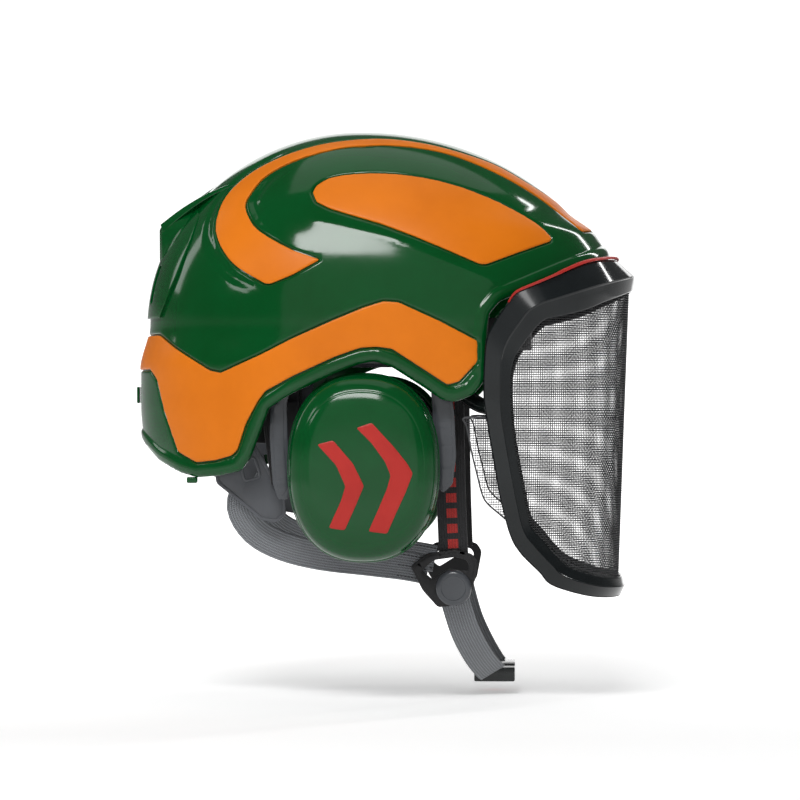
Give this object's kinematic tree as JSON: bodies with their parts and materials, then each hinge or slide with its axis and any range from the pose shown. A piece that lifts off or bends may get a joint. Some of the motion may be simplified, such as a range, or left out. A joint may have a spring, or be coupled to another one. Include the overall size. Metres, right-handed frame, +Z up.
{
  "type": "forestry helmet",
  "caption": "Forestry helmet with a glossy two-colour shell, swing-up wire-mesh visor, built-in ear muffs, nape adjuster and four-point chin strap.",
  "frame": {"origin": "head mount: the middle of the wearer's head at headband level", "axes": "+X forward, +Y to the wearer's left, +Z up"},
  "size_m": [0.2991, 0.2434, 0.3294],
  "materials": {
    "shell_green": "gloss",
    "inlay_orange": "satin",
    "signal_red": "satin",
    "black_plastic": "satin",
    "gloss_black": "gloss",
    "grey_plastic": "satin",
    "foam": "matte",
    "cushion": "satin",
    "steel": "brushed",
    "mesh_steel": "satin",
    "web_black": "matte",
    "web_grey": "matte"
  },
  "bodies": {
    "shell": {"outer_shell": "shell_green", "rear_cover": "shell_green", "lower_band": "inlay_orange", "swoosh_right": "inlay_orange", "swoosh_left": "inlay_orange", "wing_right": "inlay_orange", "wing_left": "inlay_orange", "rear_hooks": "shell_green", "foam_liner": "foam", "crown_pad": "foam", "side_pads": "foam", "headband": "black_plastic", "sweatband": "foam", "anchor_rivets": "steel", "visor_pins": "steel", "visor_bushes": "grey_plastic", "muff_bracket_right": "grey_plastic", "muff_bracket_left": "grey_plastic", "front_strap_right": "web_black", "front_strap_left": "web_black", "rear_strap_right": "web_grey", "rear_strap_left": "web_grey", "side_webbing": "web_black", "nape_plate_right": "grey_plastic", "nape_plate_left": "grey_plastic", "strap_divider_right": "black_plastic", "strap_divider_left": "black_plastic", "divider_caps": "grey_plastic", "chin_strap_right": "web_grey", "chin_strap_left": "web_grey", "buckle_socket": "black_plastic", "buckle_tongue": "black_plastic"},
    "nape_cradle": {"nape_cradle": "black_plastic", "nape_pad": "foam"},
    "nape_knob": {"nape_knob": "grey_plastic", "nape_pinion": "steel"},
    "nape_rack_right": {"nape_rack_right": "black_plastic"},
    "nape_rack_left": {"nape_rack_left": "black_plastic"},
    "visor": {"visor_frame": "gloss_black", "visor_mesh": "mesh_steel", "visor_seal": "signal_red", "visor_arm_right": "gloss_black", "visor_arm_left": "gloss_black"},
    "buckle_button": {"buckle_button": "signal_red"},
    "muff_carrier_right": {"muff_carrier_right": "black_plastic"},
    "muff_fork_right": {"muff_fork_right": "grey_plastic", "fork_pins_right": "steel"},
    "muff_right": {"muff_cap_right": "shell_green", "muff_chevrons_right": "signal_red", "muff_cup_right": "black_plastic", "ear_cushion_right": "cushion", "cup_foam_right": "foam"},
    "muff_carrier_left": {"muff_carrier_left": "black_plastic"},
    "muff_fork_left": {"muff_fork_left": "grey_plastic", "fork_pins_left": "steel"},
    "muff_left": {"muff_cap_left": "shell_green", "muff_chevrons_left": "signal_red", "muff_cup_left": "black_plastic", "ear_cushion_left": "cushion", "cup_foam_left": "foam"}
  },
  "joints": [
    {"name": "visor_swing", "type": "hinge", "parent": "shell", "child": "visor", "pos_m": [0.028, 0, -0.002], "axis": [0, -1, 0], "range_deg": [0, 55]},
    {"name": "nape_slide", "type": "slide", "parent": "shell", "child": "nape_cradle", "axis": [1, 0, 0], "range_m": [0, 0.0122]},
    {"name": "nape_knob_turn", "type": "hinge", "parent": "nape_cradle", "child": "nape_knob", "pos_m": [-0.115, 0, -0.055], "axis": [1, 0, 0], "range_deg": [0, 130]},
    {"name": "rack_slide_right", "type": "slide", "parent": "nape_cradle", "child": "nape_rack_right", "axis": [0, 1, 0], "range_m": [0, 0.0122]},
    {"name": "rack_slide_left", "type": "slide", "parent": "nape_cradle", "child": "nape_rack_left", "axis": [0, -1, 0], "range_m": [0, 0.0122]},
    {"name": "buckle_press", "type": "slide", "parent": "shell", "child": "buckle_button", "axis": [0, 0, 1], "range_m": [0, 0.0015], "stiffness_N_per_m": 600, "springref_m": -0.0005},
    {"name": "muff_swing_right", "type": "hinge", "parent": "shell", "child": "muff_carrier_right", "pos_m": [0.005, -0.093, -0.007], "axis": [-1, 0, 0], "range_deg": [0, 9]},
    {"name": "muff_height_right", "type": "slide", "parent": "muff_carrier_right", "child": "muff_fork_right", "axis": [0, 0, -1], "range_m": [0, 0.012]},
    {"name": "cup_tilt_right", "type": "hinge", "parent": "muff_fork_right", "child": "muff_right", "pos_m": [0.0046, -0.089, -0.086], "axis": [-1, 0, 0], "range_deg": [-8, 8]},
    {"name": "muff_swing_left", "type": "hinge", "parent": "shell", "child": "muff_carrier_left", "pos_m": [0.005, 0.093, -0.007], "axis": [1, 0, 0], "range_deg": [0, 9]},
    {"name": "muff_height_left", "type": "slide", "parent": "muff_carrier_left", "child": "muff_fork_left", "axis": [0, 0, -1], "range_m": [0, 0.012]},
    {"name": "cup_tilt_left", "type": "hinge", "parent": "muff_fork_left", "child": "muff_left", "pos_m": [0.0046, 0.089, -0.086], "axis": [1, 0, 0], "range_deg": [-8, 8]}
  ],
  "couplings": [
    {"joint": "nape_knob_turn", "follows": "nape_slide", "rad_per_m": 185.5},
    {"joint": "rack_slide_right", "follows": "nape_slide", "ratio": 1},
    {"joint": "rack_slide_left", "follows": "nape_slide", "ratio": 1}
  ]
}
